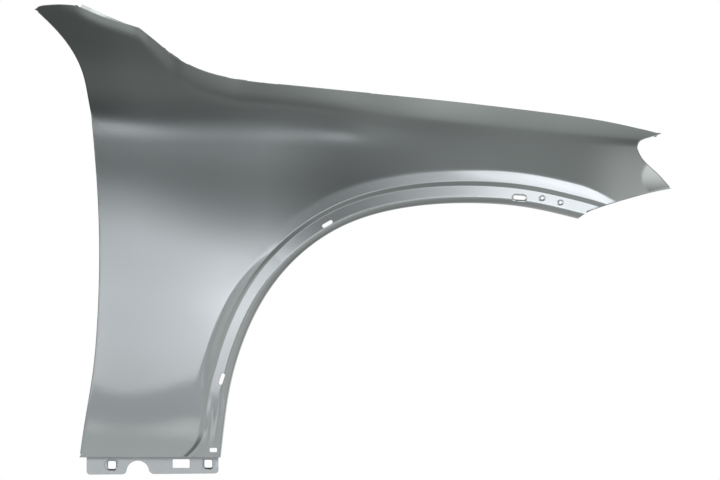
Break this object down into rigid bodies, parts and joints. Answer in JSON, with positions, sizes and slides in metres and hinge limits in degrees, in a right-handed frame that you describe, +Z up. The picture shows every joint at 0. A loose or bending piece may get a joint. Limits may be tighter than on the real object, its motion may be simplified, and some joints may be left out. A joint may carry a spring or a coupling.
{
  "type": "car fender",
  "caption": "Pressed sheet-steel front fender with a wheel arch, a sharp character line, a headlamp notch and a mounting tab below the sill edge.",
  "frame": {"origin": "middle of the sill tab's mounting face, halfway between the two square holes", "axes": "+X forward along the car, +Y inboard towards the car's middle, +Z up"},
  "size_m": [1.0381, 0.1573, 0.767],
  "materials": {
    "silver_paint": "glossy silver-grey metallic paint"
  },
  "bodies": {
    "root": {"fender_panel": "silver_paint"}
  },
  "joints": []
}
